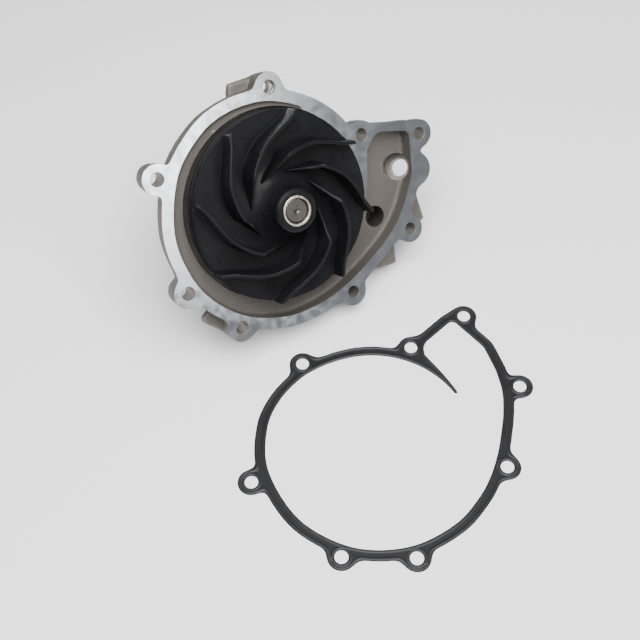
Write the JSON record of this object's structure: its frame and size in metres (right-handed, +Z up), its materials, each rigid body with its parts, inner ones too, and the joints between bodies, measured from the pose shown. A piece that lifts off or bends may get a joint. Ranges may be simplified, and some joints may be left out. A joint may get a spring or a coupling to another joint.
{
  "type": "coolant pump",
  "caption": "Engine coolant pump with a volute housing, vaned impeller, sealed shaft bearing and grooved belt pulley, lying tilted on a bench beside its flange gasket.",
  "frame": {"origin": "centre of the base of the box round the pump and the gasket as they lie on a bench", "axes": "+Z up from the bench; +X to the right and -Y towards the viewer, with the gasket at the front right; the pump axis leans 54.9 degrees from upright"},
  "size_m": [0.2636, 0.316, 0.1564],
  "materials": {
    "cast_aluminium": "as-cast, machined on the sealing faces",
    "black_plastic": "semi-gloss moulded, fibre filled",
    "steel": "turned",
    "bright_steel": "ground",
    "rubber": "matt",
    "carbon": "lapped",
    "ceramic": "lapped",
    "brass": "drawn sheet",
    "black_paint": "satin black electrocoat",
    "coated_steel": "rubber-coated steel sheet, semi-matt"
  },
  "bodies": {
    "housing": {"pump_housing": "cast_aluminium", "dowel_sleeve": "steel", "weep_cap": "black_plastic", "bearing_outer_ring": "bright_steel", "bearing_seal_front": "rubber", "bearing_seal_rear": "rubber", "retaining_ring": "steel", "seal_cup": "brass", "seal_spring": "bright_steel", "seal_bellows": "rubber", "seal_carbon_ring": "carbon"},
    "rotor": {"pump_shaft": "steel", "seal_mating_ring": "ceramic", "slinger": "steel", "impeller_insert": "bright_steel", "impeller": "black_plastic", "drive_hub": "steel", "pulley_rim": "black_paint", "pulley_web": "black_paint", "pulley_washer_1": "steel", "pulley_washer_2": "steel", "pulley_washer_3": "steel", "pulley_washer_4": "steel", "pulley_bolt_1": "steel", "pulley_bolt_2": "steel", "pulley_bolt_3": "steel", "pulley_bolt_4": "steel"},
    "front_balls": {"ball_cage_front": "bright_steel", "front_ball_1": "bright_steel", "front_ball_2": "bright_steel", "front_ball_3": "bright_steel", "front_ball_4": "bright_steel", "front_ball_5": "bright_steel", "front_ball_6": "bright_steel", "front_ball_7": "bright_steel"},
    "rear_balls": {"ball_cage_rear": "bright_steel", "rear_ball_1": "bright_steel", "rear_ball_2": "bright_steel", "rear_ball_3": "bright_steel", "rear_ball_4": "bright_steel", "rear_ball_5": "bright_steel", "rear_ball_6": "bright_steel", "rear_ball_7": "bright_steel"},
    "gasket": {"flange_gasket": "coated_steel"}
  },
  "joints": [
    {"name": "shaft_spin", "type": "hinge", "parent": "housing", "child": "rotor", "pos_m": [-0.04342, 0.06514, 0.08921], "axis": [0.4832, -0.6602, 0.575], "continuous": true},
    {"name": "front_cage_spin", "type": "hinge", "parent": "housing", "child": "front_balls", "pos_m": [-0.06227, 0.09089, 0.06678], "axis": [0.4832, -0.6602, 0.575], "continuous": true},
    {"name": "rear_cage_spin", "type": "hinge", "parent": "housing", "child": "rear_balls", "pos_m": [-0.07193, 0.10409, 0.05528], "axis": [0.4832, -0.6602, 0.575], "continuous": true},
    {"name": "gasket_lift", "type": "slide", "parent": "housing", "child": "gasket", "axis": [0, 0, 1], "range_m": [0, 0.05]}
  ],
  "couplings": [
    {"joint": "front_cage_spin", "follows": "shaft_spin", "ratio": 0.3293},
    {"joint": "rear_cage_spin", "follows": "shaft_spin", "ratio": 0.3293}
  ]
}
